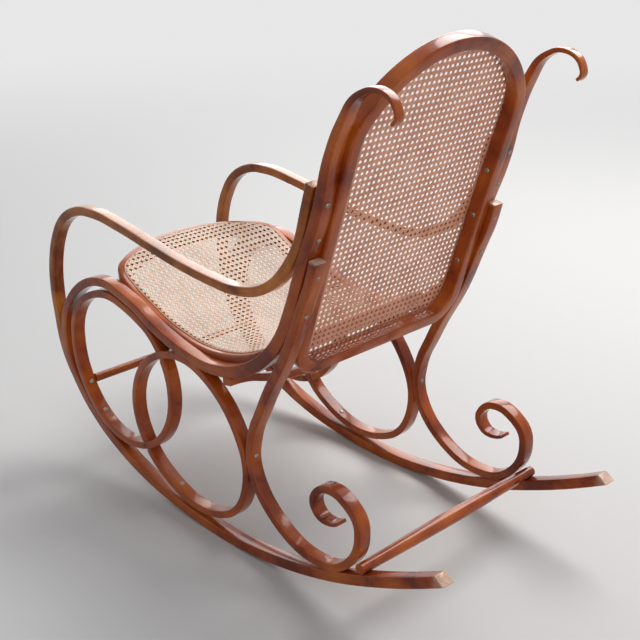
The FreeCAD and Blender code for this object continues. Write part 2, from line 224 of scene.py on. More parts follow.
def close_lengths(line, lengths, closed):
    """Running lengths with one more at the end for the stretch that closes a line."""
    if closed:
        return np.append(lengths, lengths[-1] + np.linalg.norm(line[0] - line[-1]))
    return lengths


def rounded_section(low_a, high_a, low_b, high_b, radius, cuts=STRIP_CUTS):
    """A rectangle in (a, b) with rounded corners, starting at the middle of its low side."""
    radius = min(radius, ROUNDING_LIMIT * (high_a - low_a), ROUNDING_LIMIT * (high_b - low_b))
    points = [((low_a + high_a) / 2, low_b)]
    corners = [(high_a - radius, low_b + radius, -90), (high_a - radius, high_b - radius, 0),
               (low_a + radius, high_b - radius, 90), (low_a + radius, low_b + radius, 180)]
    for a, b, start in corners:
        for k in range(cuts + 1):
            angle = math.radians(start + 90 * k / cuts)
            points.append((a + radius * math.cos(angle), b + radius * math.sin(angle)))
    return np.array(points)


def loft(rings, lengths, closed):
    """Faces and grain coordinates of a skin over rings of points, with its ends closed."""
    count = len(rings[0])
    middle = rings[len(rings) // 2]
    perimeter = np.linalg.norm(np.diff(middle, axis=0, append=middle[:1]), axis=1)
    around = np.concatenate([[0], np.cumsum(perimeter)])
    faces, uvs = [], []
    for i in range(len(rings) if closed else len(rings) - 1):
        j = (i + 1) % len(rings)
        low, high = lengths[i], lengths[i + 1]
        for k in range(count):
            n = (k + 1) % count
            faces.append((i * count + k, i * count + n, j * count + n, j * count + k))
            uvs.append(((low, around[k]), (low, around[k + 1]),
                        (high, around[k + 1]), (high, around[k])))
    if not closed:
        last = len(rings) - 1
        for i, order in ((0, range(count - 1, -1, -1)), (last, range(count))):
            faces.append([i * count + k for k in order])
            uvs.append([(lengths[i] + END_GRAIN_SQUASH * around[k], END_GRAIN + around[k])
                        for k in order])
    return np.concatenate(rings), faces, uvs


def slant_first_end(rings, line, normal, half, lengths, slant):
    """Pulls the upper face of a strip back at its first end, so that the cut slants."""
    for i in range(len(rings)):
        ahead = line[min(i + 1, len(line) - 1)] - line[max(i - 1, 0)]
        ahead = ahead / np.linalg.norm(ahead)
        height = (rings[i][:, 1:] - line[i]) @ normal[i]
        share = np.clip((half - height) / (2 * half), 0, 1)
        pull = slant * share * max(0.0, 1 - lengths[i] / (SLANT_REACH * slant))
        rings[i][:, 1:] += np.outer(pull, ahead)


def soften_ends(rings, lengths):
    """Adds a small bevel round both ends of an open skin."""
    for end, other in ((0, 1), (-1, -2)):
        centre = rings[end].mean(axis=0)
        out = centre - rings[other].mean(axis=0)
        out = out / np.linalg.norm(out)
        cap = centre + (rings[end] - centre) * END_SHARE
        rings[end] = rings[end] - out * END_STEP_BACK
        if end == 0:
            rings.insert(0, cap)
            lengths = np.concatenate([[lengths[0] - END_GRAIN_STEP], lengths])
        else:
            rings.append(cap)
            lengths = np.append(lengths, lengths[-1] + END_GRAIN_STEP)
    return lengths


def bent_strip(nodes, depth, radius, closed=False, recess=None, slant=0.0):
    """Skin of a bent strip about X = 0.

    recess gives how far each side is let in at a point. slant is how much shorter
    the strip's upper face is than its lower one at its first end.
    """
    line, widths = smooth_line(nodes, closed)
    normal, lengths = line_frame(line, closed)
    rings = []
    for point, width, side in zip(line, widths, normal):
        inner, outer = recess(point) if recess else (0, 0)
        section = rounded_section(-depth / 2 + inner, depth / 2 - outer,
                                  -width / 2, width / 2, radius)
        rings.append(np.column_stack([
            section[:, 0], point[0] + side[0] * section[:, 1],
            point[1] + side[1] * section[:, 1]]))
    if slant:
        slant_first_end(rings, line, normal, widths[0] / 2, lengths, slant)
    if not closed:
        lengths = soften_ends(rings, lengths)
    return loft(rings, close_lengths(line, lengths, closed), closed)


def new_piece(name, verts, faces, uvs, material, replaced):
    """A mesh piece in metres with its grain coordinates, riding on the chair."""
    mesh = bpy.data.meshes.new(name)
    mesh.from_pydata([tuple(v) for v in np.asarray(verts) * MM], [], faces)
    if uvs is not None:
        layer = mesh.uv_layers.new(name="grain")
        flat = [value * MM for face in uvs for corner in face for value in corner]
        layer.data.foreach_set("uv", flat)
    skin = bmesh.new()
    skin.from_mesh(mesh)
    bmesh.ops.recalc_face_normals(skin, faces=skin.faces)
    skin.to_mesh(mesh)
    skin.free()
    mesh.shade_smooth()
    mesh.set_sharp_from_angle(angle=SHARP_ANGLE)
    piece = bpy.data.objects.new(name, mesh)
    bpy.context.scene.collection.objects.link(piece)
    mesh.materials.append(material)
    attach(piece, "root")
    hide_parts(*replaced)
    return piece


# Materials. These are the places of a Mix node's colour sockets.
MIX_FACTOR, MIX_A, MIX_B, MIX_RESULT = 0, 6, 7, 2


def node_material(name):
    """A new material with its node tree and its Principled shader."""
    material = bpy.data.materials.new(name)
    material.use_nodes = True
    tree = material.node_tree
    return material, tree, tree.nodes["Principled BSDF"]


def add(tree, kind, inputs):
    """A new node whose inputs are set to the given values or linked to the given sockets."""
    node = tree.nodes.new(kind)
    fill(tree, node, inputs)
    return node


def fill(tree, node, inputs):
    """Sets or links the named inputs of a node."""
    for key, value in inputs.items():
        if isinstance(value, bpy.types.NodeSocket):
            tree.links.new(value, node.inputs[key])
        else:
            node.inputs[key].default_value = value


def noise(tree, place, **inputs):
    """Noise at a place, as the socket of its value."""
    return add(tree, "ShaderNodeTexNoise", {"Vector": place, **inputs}).outputs[0]


def object_place(tree):
    return tree.nodes.new("ShaderNodeTexCoord").outputs["Object"]


def grain_place(tree, along, across):
    """The grain coordinates, scaled along and across the wood or cane."""
    place = tree.nodes.new("ShaderNodeUVMap")
    place.uv_map = "grain"
    scaled = add(tree, "ShaderNodeMapping",
                 {"Vector": place.outputs[0], "Scale": (along, across, 1.0)})
    return scaled.outputs[0]


def stored(tree, name):
    """A value that is stored at the mesh's vertices."""
    node = tree.nodes.new("ShaderNodeAttribute")
    node.attribute_name = name
    return node.outputs["Fac"]


def maths(tree, operation, a, b):
    node = add(tree, "ShaderNodeMath", {0: a, 1: b})
    node.operation = operation
    return node.outputs[0]


def ramp(tree, source, stops):
    """Colours at places along a value: (place, colour), where a grey is one number."""
    node = add(tree, "ShaderNodeValToRGB", {"Fac": source})
    elements = node.color_ramp.elements
    while len(elements) < len(stops):
        elements.new(0.5)
    for element, (place, colour) in zip(elements, stops):
        if not isinstance(colour, tuple):
            colour = (colour,) * 3
        element.position = place
        element.color = (*colour, 1.0)
    return node.outputs[0]


def mix(tree, kind, factor, a, b):
    node = tree.nodes.new("ShaderNodeMix")
    node.data_type = "RGBA"
    node.blend_type = kind
    fill(tree, node, {MIX_FACTOR: factor, MIX_A: a, MIX_B: b})
    return node.outputs[MIX_RESULT]


def mix_shaders(tree, share, first, second):
    return add(tree, "ShaderNodeMixShader", {0: share, 1: first, 2: second}).outputs[0]


# Pale colour, painted for worn varnish and, on faces that face up, as a painted highlight.
WEAR_AND_HIGHLIGHT_COLOUR = (0.78, 0.60, 0.47, 1.0)
STREAK_STRENGTH = 0.85
FLECK_STRENGTH = 0.70


def stained_wood(name, dark, middle, light):
    """Stained wood under varnish: streaks and flecks along the bend, cloudy stain, and pale
    places, which are worn wood and painted highlights.
    """
    material, tree, shader = node_material(name)
    streaks = noise(tree, grain_place(tree, 14.0, 520.0),
                    Scale=1.0, Detail=5.0, Roughness=0.62, Distortion=0.3)
    flecks = noise(tree, grain_place(tree, 150.0, 1500.0), Scale=1.0, Detail=3.0, Roughness=0.6)
    clouds = noise(tree, object_place(tree), Scale=10.0, Detail=3.0, Roughness=0.5, Distortion=0.2)
    base = ramp(tree, clouds, [(0.34, dark), (0.48, middle), (0.70, light)])
    grain = ramp(tree, streaks, [
        (0.30, (0.66, 0.58, 0.52)), (0.52, 1.0), (0.72, (1.18, 1.24, 1.20))])
    fine = ramp(tree, flecks, [
        (0.36, (0.52, 0.44, 0.40)), (0.48, 1.0), (0.78, (1.12, 1.14, 1.10))])
    colour = mix(tree, "MULTIPLY", STREAK_STRENGTH, base, grain)
    colour = mix(tree, "MULTIPLY", FLECK_STRENGTH, colour, fine)
    speckle = ramp(tree, flecks, [(0.40, 0.35), (0.60, 1.0)])
    # Pale marks for worn wood and painted highlights, broken up by the flecks.
    scuffs_and_highlights = maths(tree, "MULTIPLY", stored(tree, "wear_and_highlight"), speckle)
    bump = add(tree, "ShaderNodeBump", {"Strength": 0.10, "Distance": 0.0004, "Height": flecks})
    fill(tree, shader, {
        "Base Color": mix(tree, "MIX", scuffs_and_highlights, colour, WEAR_AND_HIGHLIGHT_COLOUR),
        "Roughness": ramp(tree, clouds, [(0.3, 0.24), (0.7, 0.36)]),
        "Normal": bump.outputs[0],
        "IOR": 1.5, "Specular IOR Level": 0.12,
        "Coat Weight": 1.0, "Coat Roughness": 0.12, "Coat IOR": 1.26,
    })
    return material


# Darkest and palest lines along a strand, as shares of its tint.
DARK_LINES = 0.68
PALE_LINES = 1.18


def woven_cane(name, tint):
    """Split cane: satin skin with fine lengthwise lines, browner patches, and painted shade
    darkening the strands' edges.
    """
    material, tree, shader = node_material(name)
    lines = noise(tree, grain_place(tree, 25.0, 1800.0), Scale=1.0, Detail=2.0)
    patches = noise(tree, object_place(tree), Scale=14.0, Detail=4.0, Roughness=0.6)
    base = ramp(tree, lines, [
        (0.30, tuple(DARK_LINES * c for c in tint)), (0.55, tint),
        (0.75, tuple(min(1.0, PALE_LINES * c) for c in tint))])
    tone = ramp(tree, patches, [(0.35, (0.80, 0.74, 0.70)), (0.60, 1.0)])
    painted_edge_shade = ramp(tree, stored(tree, "edge"), [(0.45, 1.0), (0.95, (0.44, 0.32, 0.26))])
    colour = mix(tree, "MULTIPLY", 1.0, base, tone)
    fill(tree, shader, {
        "Base Color": mix(tree, "MULTIPLY", 1.0, colour, painted_edge_shade),
        "Roughness": 0.42,
        "Subsurface Weight": 0.5, "Subsurface Radius": (1.0, 0.45, 0.25),
        "Subsurface Scale": 0.0015,
    })
    return material


def spotted(name, spots, stops, **values):
    """A surface whose colour varies in small spots, of a noise with the given inputs."""
    material, tree, shader = node_material(name)
    colour = ramp(tree, noise(tree, object_place(tree), **spots), stops)
    fill(tree, shader, {"Base Color": colour, **values})
    return material


wood = stained_wood(
    "stained_bentwood", (0.150, 0.020, 0.003), (0.300, 0.052, 0.006), (0.440, 0.105, 0.012))
# The arms' wood is paler and more golden than the rest.
arm_wood = stained_wood(
    "golden_arm_wood", (0.180, 0.038, 0.005), (0.360, 0.100, 0.012), (0.520, 0.180, 0.028))
seat_skin = woven_cane("seat_cane_skin", (0.86, 0.63, 0.48))
# The back's cane is more copper than the seat's: partly its browner underside, seen from behind,
# and partly a painted glow of light passing through it.
back_underside_and_glow = woven_cane("back_cane_underside_painted_glow", (0.96, 0.50, 0.35))
binding = woven_cane("cane_binding", (0.50, 0.24, 0.13))
steel = spotted("dull_steel", {"Scale": 900.0, "Detail": 3.0},
                [(0.35, (0.14, 0.10, 0.07)), (0.6, (0.42, 0.37, 0.32))],
                Metallic=0.9, Roughness=0.42)
# The slot's near-black colour is painted shade, as the slot is no groove.
slot_painted_shade = spotted("screw_slot_painted_shade", {"Scale": 1200.0, "Detail": 2.0},
                    [(0.3, (0.015, 0.012, 0.010)), (0.7, (0.05, 0.04, 0.03))], Roughness=0.7)


# Wear and painted highlights: how pale each vertex is painted, from its place and from the upward
# part of its normal.
# The runner's rear end has bare wood, and faces that face up get painted highlights.
BARE_END = 22  # length of the runner's rear end that is painted pale: bare wood, with a painted highlight
BARE_END_FADE = 12
RUNNER_TOP = 215  # above this height the rear end's places belong to other pieces
# The scroll's cut end gets a painted highlight on its faces that face up.
SCARF_FOOT = 664  # the scroll's cut end lies above this height
SCARF_SHARE = 0.8
ARM_BEND = 480  # the arm's top is painted pale above this height, as a highlight
ARM_BEND_FADE = 60
ARM_SHARE = 0.50
FACING_FADE = 0.3


def fade_in(values, start, width):
    return np.clip((values - start) / width, 0, 1)


def facing_up(upward, least):
    """0 where the normal's upward part is at most least, and 1 where it is well above."""
    return fade_in(upward, least, FACING_FADE)


def runner_wear_and_highlight(points, upward):
    """Bare wood on the cut rear end of the runner, and a painted highlight on its faces that do
    not face down.
    """
    bare = fade_in(points[:, 1], MAIN[0][0] - BARE_END, BARE_END_FADE)
    return bare * (points[:, 2] < RUNNER_TOP) * facing_up(upward, least=-0.2)


def scarf_highlight(points, upward):
    """Painted highlight on the upward faces of the scroll's cut upper end."""
    return SCARF_SHARE * (points[:, 2] > SCARF_FOOT) * facing_up(upward, least=0.3)


def arm_highlight(points, upward):
    """Painted highlight along the top of the arm."""
    top = facing_up(upward, least=0.5)
    return ARM_SHARE * top * fade_in(points[:, 2], ARM_BEND, ARM_BEND_FADE)


def write_wear_and_highlight(piece, share):
    """Stores share's values as the attribute that the wood's material reads for wear and painted
    highlights.
    """
    points = np.array([tuple(vert.co) for vert in piece.data.vertices]) / MM
    upward = np.array([vert.normal.z for vert in piece.data.vertices])
    layer = piece.data.attributes.new("wear_and_highlight", "FLOAT", "POINT")
    layer.data.foreach_set("value", share(points, upward).astype(np.float32))


# Side frames. The main strip loses depth on both sides towards its hook.
HOOK_ABOVE = 850
HOOK_START = 325
HOOK_LENGTH = 130
HOOK_RECESS = 5.0


def hook_recess(point):
    if point[1] < HOOK_ABOVE:
        return (0.0, 0.0)
    share = min(1.0, max(0.0, (point[0] - HOOK_START) / HOOK_LENGTH))
    return (HOOK_RECESS * share, HOOK_RECESS * share)


# Where the rings cross, above and below RING_MIDDLE, the front one is let in on the
# outside at the top and on the inside at the bottom, and the rear one the other way round.
front_line = smooth_line(FRONT_RING, True)[0]
rear_line = smooth_line(REAR_RING, True)[0]
RING_MIDDLE = 240
LAP = 3.5
LAP_RUN_OUT = 1.5


def lap_recess(other, outside_at_top):
    """Recess of one ring near the other one's centre line."""
    def recess(point):
        near = np.linalg.norm(other - point, axis=1).min()
        share = (RING_THICKNESS / 2 + LAP_RUN_OUT - near) / LAP_RUN_OUT
        depth = LAP * min(1.0, max(0.0, share))
        outside = outside_at_top == (point[1] > RING_MIDDLE)
        return (0.0, depth) if outside else (depth, 0.0)
    return recess


def pair_of_sides(name, skin, material, grain_start=0.0, wear_and_highlight=None):
    """The left piece and its mirror image on the right, standing for their CAD nodes."""
    verts, faces, uvs = skin
    left = verts + np.array([side_x, 0, 0])
    right = left * np.array([-1, 1, 1])
    shifted = [[(u + grain_start, v) for u, v in face] for face in uvs]
    turned = [tuple(reversed(face)) for face in faces]
    turned_uvs = [[(u + MIRROR_GRAIN, v) for u, v in reversed(face)] for face in shifted]
    pair = (new_piece("left_" + name + "_wood", left, faces, shifted, material,
                      ["left_" + name]),
            new_piece("right_" + name + "_wood", right, turned, turned_uvs, material,
                      ["right_" + name]))
    if wear_and_highlight:
        for piece in pair:
            write_wear_and_highlight(piece, wear_and_highlight)


pair_of_sides("main_strip",
              bent_strip(MAIN, STRIP_DEPTH, STRIP_ROUNDING, recess=hook_recess,
                         slant=MAIN_SLANT),
              wood, wear_and_highlight=runner_wear_and_highlight)
pair_of_sides("arm", bent_strip(ARM, ARM_DEPTH, ARM_ROUNDING),
              arm_wood, grain_start=3301, wear_and_highlight=arm_highlight)
pair_of_sides("front_ring",
              bent_strip(FRONT_RING, STRIP_DEPTH, STRIP_ROUNDING, True,
                         lap_recess(rear_line, True)),
              wood, grain_start=7103)
pair_of_sides("rear_ring",
              bent_strip(REAR_RING, STRIP_DEPTH, STRIP_ROUNDING, True,
                         lap_recess(front_line, False)),
              wood, grain_start=9209)
pair_of_sides("rear_scroll", bent_strip(REAR_SCROLL, STRIP_DEPTH, STRIP_ROUNDING),
              wood, grain_start=5507, wear_and_highlight=scarf_highlight)


# Loops of the seat and the back
FOOT_POINTS = 12
LEAST_GAP = 0.5


def loop_line(foot, crown, corner, shoulder, shoulder_at, inset=0.0, step=LINE_STEP):
    """Closed line round a straight-sided loop with a round foot and an arched crown."""
    reach = half_width - shoulder
    rise = crown - shoulder_at
    arch = (reach ** 2 + rise ** 2 - shoulder ** 2) / (2 * (rise - shoulder))
    centre = crown - arch
    lean = math.atan2(reach, shoulder_at - centre)
    half = []

    def run(cx, cy, radius, start, end):
        count = max(3, int(radius * abs(end - start) / step))
        for k in range(count + 1):
            angle = start + (end - start) * k / count
            half.append((cx + radius * math.cos(angle), cy + radius * math.sin(angle)))

    for k in range(FOOT_POINTS):
        half.append(((half_width - corner) * k / FOOT_POINTS, foot + inset))
    run(half_width - corner, foot + corner, corner - inset, -math.pi / 2, 0)
    straight = shoulder_at - foot - corner
    rows = int(straight / step)
    for k in range(1, rows):
        half.append((half_width - inset, foot + corner + straight * k / rows))
    run(reach, shoulder_at, shoulder - inset, 0, math.pi / 2 - lean)
    run(0, centre, arch - inset, math.pi / 2 - lean, math.pi / 2)
    clean = [half[0]]
    for point in half[1:]:
        if math.dist(point, clean[-1]) > LEAST_GAP:
            clean.append(point)
    other = [(-x, y) for x, y in reversed(clean[1:-1])]
    return np.array(clean + other)


SADDLE_STEP = 3.0
saddle_line = smooth_line(SADDLE, step=SADDLE_STEP)[0]


def on_seat(x, y, up):
    """A point above the saddle, from plan coordinates with y towards the front."""
    return np.column_stack([x, -y, np.interp(-y, saddle_line[:, 0], saddle_line[:, 1]) + up])


def on_back(x, w, out):
    """A point on the leaning back: w up along it, out towards its front."""
    cos, sin = math.cos(BACK_LEAN), math.sin(BACK_LEAN)
    y = BACK_FOOT[0] + w * sin - out * cos
    z = BACK_FOOT[1] + w * cos + out * sin
    return np.column_stack([x, y, z])


def loop_piece(name, loop, place, section, material, replaced):
    """Sweeps a section of (distance in from the loop, height) round a loop."""
    line = loop_line(**loop)
    normal, lengths = line_frame(line, True)
    rings = []
    for point, inward in zip(line, normal):
        flat = point + inward * section[:, :1]
        rings.append(place(flat[:, 0], flat[:, 1], section[:, 1]))
    verts, faces, uvs = loft(rings, close_lengths(line, lengths, True), True)
    new_piece(name, verts, faces, uvs, material, replaced)


SPLINE_PLAY = 0.2
SPLINE_SINK = 2
SPLINE_ROUNDING = 1.8
SEAT_SPLINE_RISE = 1.9
BACK_SPLINE_RISE = 1.6
back_top = BACK_RAIL[1] / 2


def spline_section(rail, top, rise):
    """Section of the spline in a rail's groove, standing rise above the rail's top."""
    start = rail[0] - GROOVE_INSET - GROOVE_WIDTH
    return rounded_section(start + SPLINE_PLAY, start + GROOVE_WIDTH - SPLINE_PLAY,
                           top - SPLINE_SINK, top + rise, min(rise, SPLINE_ROUNDING),
                           SPLINE_CUTS)


loop_piece("seat_frame_wood", SEAT_LOOP, on_seat,
           rounded_section(0, SEAT_RAIL[0], -SEAT_RAIL[1], 0, SEAT_ROUNDING, LOOP_CUTS),
           wood, ["seat_frame"])
loop_piece("seat_binding", SEAT_LOOP, on_seat, spline_section(SEAT_RAIL, 0, SEAT_SPLINE_RISE),
           binding, ["seat_spline"])
loop_piece("back_frame_wood", BACK_LOOP, on_back,
           rounded_section(0, BACK_RAIL[0], -back_top, back_top, BACK_ROUNDING, LOOP_CUTS),
           wood, ["back_frame"])
loop_piece("back_binding", BACK_LOOP, on_back,
           spline_section(BACK_RAIL, back_top, BACK_SPLINE_RISE),
           binding, ["back_spline"])


# Woven cane: pairs of strands both ways and single strands on both diagonals. PITCH is
# from pair to pair, PAIR is half the distance between a pair's two middles, and STRAND
# and DIAGONAL are widths. Each strand goes over and under the others by its wave.
PITCH = 12.7
PAIR = 1.55
STRAND = 3.0
DIAGONAL = 3.15
WAVE = 0.55
DIAGONAL_WAVE = 2.0 * WAVE

# Rows beyond the panel's width, which clip drops, the shortest strand that is kept, and
# how near to a strand's end its last bend may come, in millimetres and quarter pitches.
SPARE_ROWS = 3
SHORTEST = 4
END_CLEARANCE = 0.4
END_QUARTERS = 0.2
PARALLEL = 1e-9

# A strand's middle stands above and below its edges. The weave's height is above the rail.
CROWN = 0.45
BELLY = 0.35
SEAT_WEAVE_HEIGHT = 1.6
BACK_WEAVE_HEIGHT = 1.4
OUTLINE_STEP = 14


def clip(origin, direction, outline):
    """Part of a straight line inside a closed outline that runs anticlockwise."""
    low, high = -math.inf, math.inf
    following = np.roll(outline, -1, axis=0)
    for corner, ahead in zip(outline, following):
        edge = ahead - corner
        inward = np.array([-edge[1], edge[0]])
        distance = inward.dot(origin - corner)
        rate = inward.dot(direction)
        if abs(rate) < PARALLEL:
            if distance < 0:
                return None
        elif rate > 0:
            low = max(low, -distance / rate)
        else:
            high = min(high, -distance / rate)
    return (low, high) if high - low > SHORTEST else None


def paired_strands(centre, count, outline):
    """The pairs, which weave where they cross the other way's pairs."""
    runs = []
    for axis in (0, 1):
        direction = np.array([0.0, 1.0]) if axis == 0 else np.array([1.0, 0.0])
        across = np.array([1.0, 0.0]) if axis == 0 else np.array([0.0, 1.0])
        for k in range(-count, count + 1):
            for which, side in enumerate((-PAIR, PAIR)):
                origin = centre + across * (k * PITCH + side)
                span = clip(origin, direction, outline)
                if span is None:
                    continue
                places, heights = [span[0]], [0.0]
                for cell in range(-count, count + 1):
                    for order, shift in enumerate((-2 * PAIR, -PAIR, PAIR, 2 * PAIR)):
                        place = cell * PITCH + shift
                        if span[0] + END_CLEARANCE < place < span[1] - END_CLEARANCE:
                            sign = 1 if (which + order) % 2 == 0 else -1
                            weave = WAVE * sign if order in (1, 2) else 0.0
                            places.append(place)
                            heights.append(weave if axis == 0 else -weave)
                places.append(span[1])
                heights.append(0.0)
                runs.append((origin + np.outer(places, direction), np.array(heights), STRAND))
    return runs


def diagonal_strands(centre, count, outline):
    """The diagonals, which pass the pairs in a smooth wave."""
    runs = []
    quarter = PITCH / 4
    for slope in (1, -1):
        direction = np.array([1.0, slope])
        for k in range(-2 * count, 2 * count + 1):
            origin = centre + np.array([0.0, (k + 0.5) * PITCH])
            span = clip(origin, direction, outline)
            if span is None:
                continue
            first = math.ceil(span[0] / quarter + END_QUARTERS)
            last = math.floor(span[1] / quarter - END_QUARTERS)
            inner = [n * PITCH / 4 for n in range(first, last + 1)]
            places = np.array([span[0]] + inner + [span[1]])
            heights = slope * DIAGONAL_WAVE * np.cos(2 * math.pi * places / PITCH)
            heights[0] = heights[-1] = 0.0
            runs.append((origin + np.outer(places, direction), heights, DIAGONAL))
    return runs


def strand_runs(outline):
    """Every strand: its points in the panel's plane, its heights and its width."""
    low, high = outline.min(axis=0), outline.max(axis=0)
    centre = np.array([0.0, (low[1] + high[1]) / 2])
    count = int(max(high - low) / PITCH) + SPARE_ROWS
    return paired_strands(centre, count, outline) + diagonal_strands(centre, count, outline)


def cane_panel(name, outline, place, base, material, replaced):
    """Weaves a panel inside an outline. Each strand is a thin crowned ribbon."""
    verts, faces, uvs = [], [], []
    for number, (points, heights, width) in enumerate(strand_runs(outline)):
        along = points[-1] - points[0]
        along = along / np.linalg.norm(along)
        side = np.array([-along[1], along[0]]) * width / 2
        steps = np.linalg.norm(np.diff(points, axis=0), axis=1)
        length = np.concatenate([[0], np.cumsum(steps)])
        left = place(*(points + side).T, base + heights)
        top = place(*points.T, base + heights + CROWN)
        right = place(*(points - side).T, base + heights)
        under = place(*points.T, base + heights - BELLY)
        first = len(verts)
        for k in range(len(points)):
            verts += [left[k], top[k], right[k], under[k]]
        shift = number * STRAND_GRAIN
        for k in range(len(points) - 1):
            a, b = first + 4 * k, first + 4 * k + 4
            for n in range(4):
                m = (n + 1) % 4
                faces.append((a + n, b + n, b + m, a + m))
                v0, v1 = shift + n * width / 2, shift + (n + 1) * width / 2
                uvs.append(((length[k], v0), (length[k + 1], v0),
                            (length[k + 1], v1), (length[k], v1)))
        last = first + 4 * (len(points) - 1)
        for end, order in ((first, (0, 1, 2, 3)), (last, (3, 2, 1, 0))):
            faces.append(tuple(end + n for n in order))
            uvs.append(tuple((n * STRAND_END_GRAIN, shift) for n in order))
    piece = new_piece(name, verts, faces, uvs, material, replaced)
    # Marks the strands' side edges, where the cane's material paints shade.
    layer = piece.data.attributes.new("edge", "FLOAT", "POINT")
    layer.data.foreach_set("value", [1.0, 0.0, 1.0, 0.0] * (len(verts) // 4))


seat_outline = loop_line(**SEAT_LOOP, inset=SEAT_RAIL[0] - GROOVE_INSET, step=OUTLINE_STEP)
back_outline = loop_line(**BACK_LOOP, inset=BACK_RAIL[0] - GROOVE_INSET, step=OUTLINE_STEP)
cane_panel("seat_weave", seat_outline, on_seat, SEAT_WEAVE_HEIGHT, seat_skin, ["seat_cane"])
cane_panel("back_weave", back_outline, on_back, back_top + BACK_WEAVE_HEIGHT,
           back_underside_and_glow, ["back_cane"])


# Stretchers, which are a little thinner at both ends, and the brace under the seat
DOWEL_SIDES = 28
DOWEL_BEVEL = 1.0
DOWEL_END = 12
DOWEL_STATIONS = 12
REAR_SWELL = 3.5
SWELL_POWER = 1.5


def box_in_mm(node):
    return (np.array(corner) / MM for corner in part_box(node))


def dowel_piece(name, node, radius, swell=0.0):
    """A round stretcher in its CAD node's place, thicker by swell at its middle."""
    low, high = box_in_mm(node)
    middle = (low + high) / 2
    rings, lengths = [], []
    inner = np.linspace(low[0] + DOWEL_END, high[0] - DOWEL_END, DOWEL_STATIONS)
    stations = [low[0], low[0] + DOWEL_BEVEL, *inner, high[0] - DOWEL_BEVEL, high[0]]
    angle = np.linspace(0, 2 * math.pi, DOWEL_SIDES, endpoint=False)
    for number, x in enumerate(stations):
        bulge = max(0.0, math.cos(math.pi * x / (high[0] - low[0]))) ** SWELL_POWER
        size = radius + swell * bulge
        if number in (0, len(stations) - 1):
            size = radius - DOWEL_BEVEL
        rings.append(np.column_stack([
            np.full(DOWEL_SIDES, x), middle[1] + size * np.cos(angle),
            middle[2] + size * np.sin(angle)]))
        lengths.append(x + DOWEL_GRAIN)
    verts, faces, uvs = loft(rings, np.array(lengths), False)
    new_piece(name, verts, faces, uvs, wood, [node])


dowel_piece("front_stretcher_wood", "front_stretcher", STRETCHER_RADIUS)
dowel_piece("rear_stretcher_wood", "rear_stretcher", REAR_STRETCHER_RADIUS, REAR_SWELL)


def brace_piece():
    """The bent brace, tilted to lie against the undersides of both seat rails."""
    nodes = [(-x, z, BRACE_THICKNESS) for x, z in reversed(BRACE_HALF[1:])]
    nodes += [(x, z, BRACE_THICKNESS) for x, z in BRACE_HALF]
    verts, faces, uvs = bent_strip(nodes, BRACE_WIDTH, BRACE_ROUNDING)
    low, high = box_in_mm("seat_brace")
    verts = verts[:, [1, 0, 2]]
    across = verts[:, 1] * math.cos(BRACE_TILT) - verts[:, 2] * math.sin(BRACE_TILT)
    height = verts[:, 1] * math.sin(BRACE_TILT) + verts[:, 2] * math.cos(BRACE_TILT)
    placed = np.column_stack([verts[:, 0], across, height])
    placed = placed + (low + high) / 2 - (placed.min(axis=0) + placed.max(axis=0)) / 2
    flipped = [tuple(reversed(face)) for face in faces]
    flipped_uvs = [list(reversed(face)) for face in uvs]
    new_piece("seat_brace_wood", placed, flipped, flipped_uvs, wood, ["seat_brace"])


brace_piece()


# Screws: each CAD head gives the place and direction of a slotted dome. The photo
# shows them wider than the CAD, by HEAD_SPREAD. Sizes below are in radii of the head.
HEAD_SPREAD = 1.18
HEAD_SIDES = 24
DOME = [(1.0, 0.0), (1.0, 0.05), (0.93, 0.18), (0.78, 0.34), (0.55, 0.46), (0.28, 0.53)]
SLOT_LINE = [(-0.93, 0.19), (-0.55, 0.475), (0.0, 0.55), (0.55, 0.475), (0.93, 0.19)]
SLOT_HALF_WIDTH = 0.18
SLOT_DEPTH = 0.15
ANY_SIDE = (0.31, 0.52, 0.80)
FIRST_TURN = 1.1
NEXT_TURN = 2.3
RIM_SHARE = 0.97
SAME_PLACE = 1e-6  # in metres, for the CAD head's doubled vertices
STEEL_INDEX, SLOT_INDEX = 0, 1


def loose_parts(mesh):
    """Vertices of each connected part of a mesh, as arrays of points."""
    waiting = set(mesh.verts)
    while waiting:
        group, front = set(), [waiting.pop()]
        while front:
            vert = front.pop()
            group.add(vert)
            for edge in vert.link_edges:
                other = edge.other_vert(vert)
                if other in waiting:
                    waiting.discard(other)
                    front.append(other)
        yield np.array([tuple(vert.co) for vert in group])


def heads_of(node):
    """Middle of the rim, outward direction and radius of each head in a CAD screw node."""
    mesh = bmesh.new()
    mesh.from_mesh(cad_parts[node].data)
    bmesh.ops.remove_doubles(mesh, verts=mesh.verts, dist=SAME_PLACE)
    found = []
    for points in loose_parts(mesh):
        centre = points.mean(axis=0)
        axis = np.linalg.svd(points - centre)[2][2]
        reach = points - centre
        flat = np.linalg.norm(reach - np.outer(reach @ axis, axis), axis=1)
        rim = points[flat > flat.max() * RIM_SHARE]
        if (rim.mean(axis=0) - centre) @ axis > 0:
            axis = -axis
        found.append((rim.mean(axis=0), axis, flat.max()))
    mesh.free()
    return sorted(found, key=lambda item: tuple(item[0]))


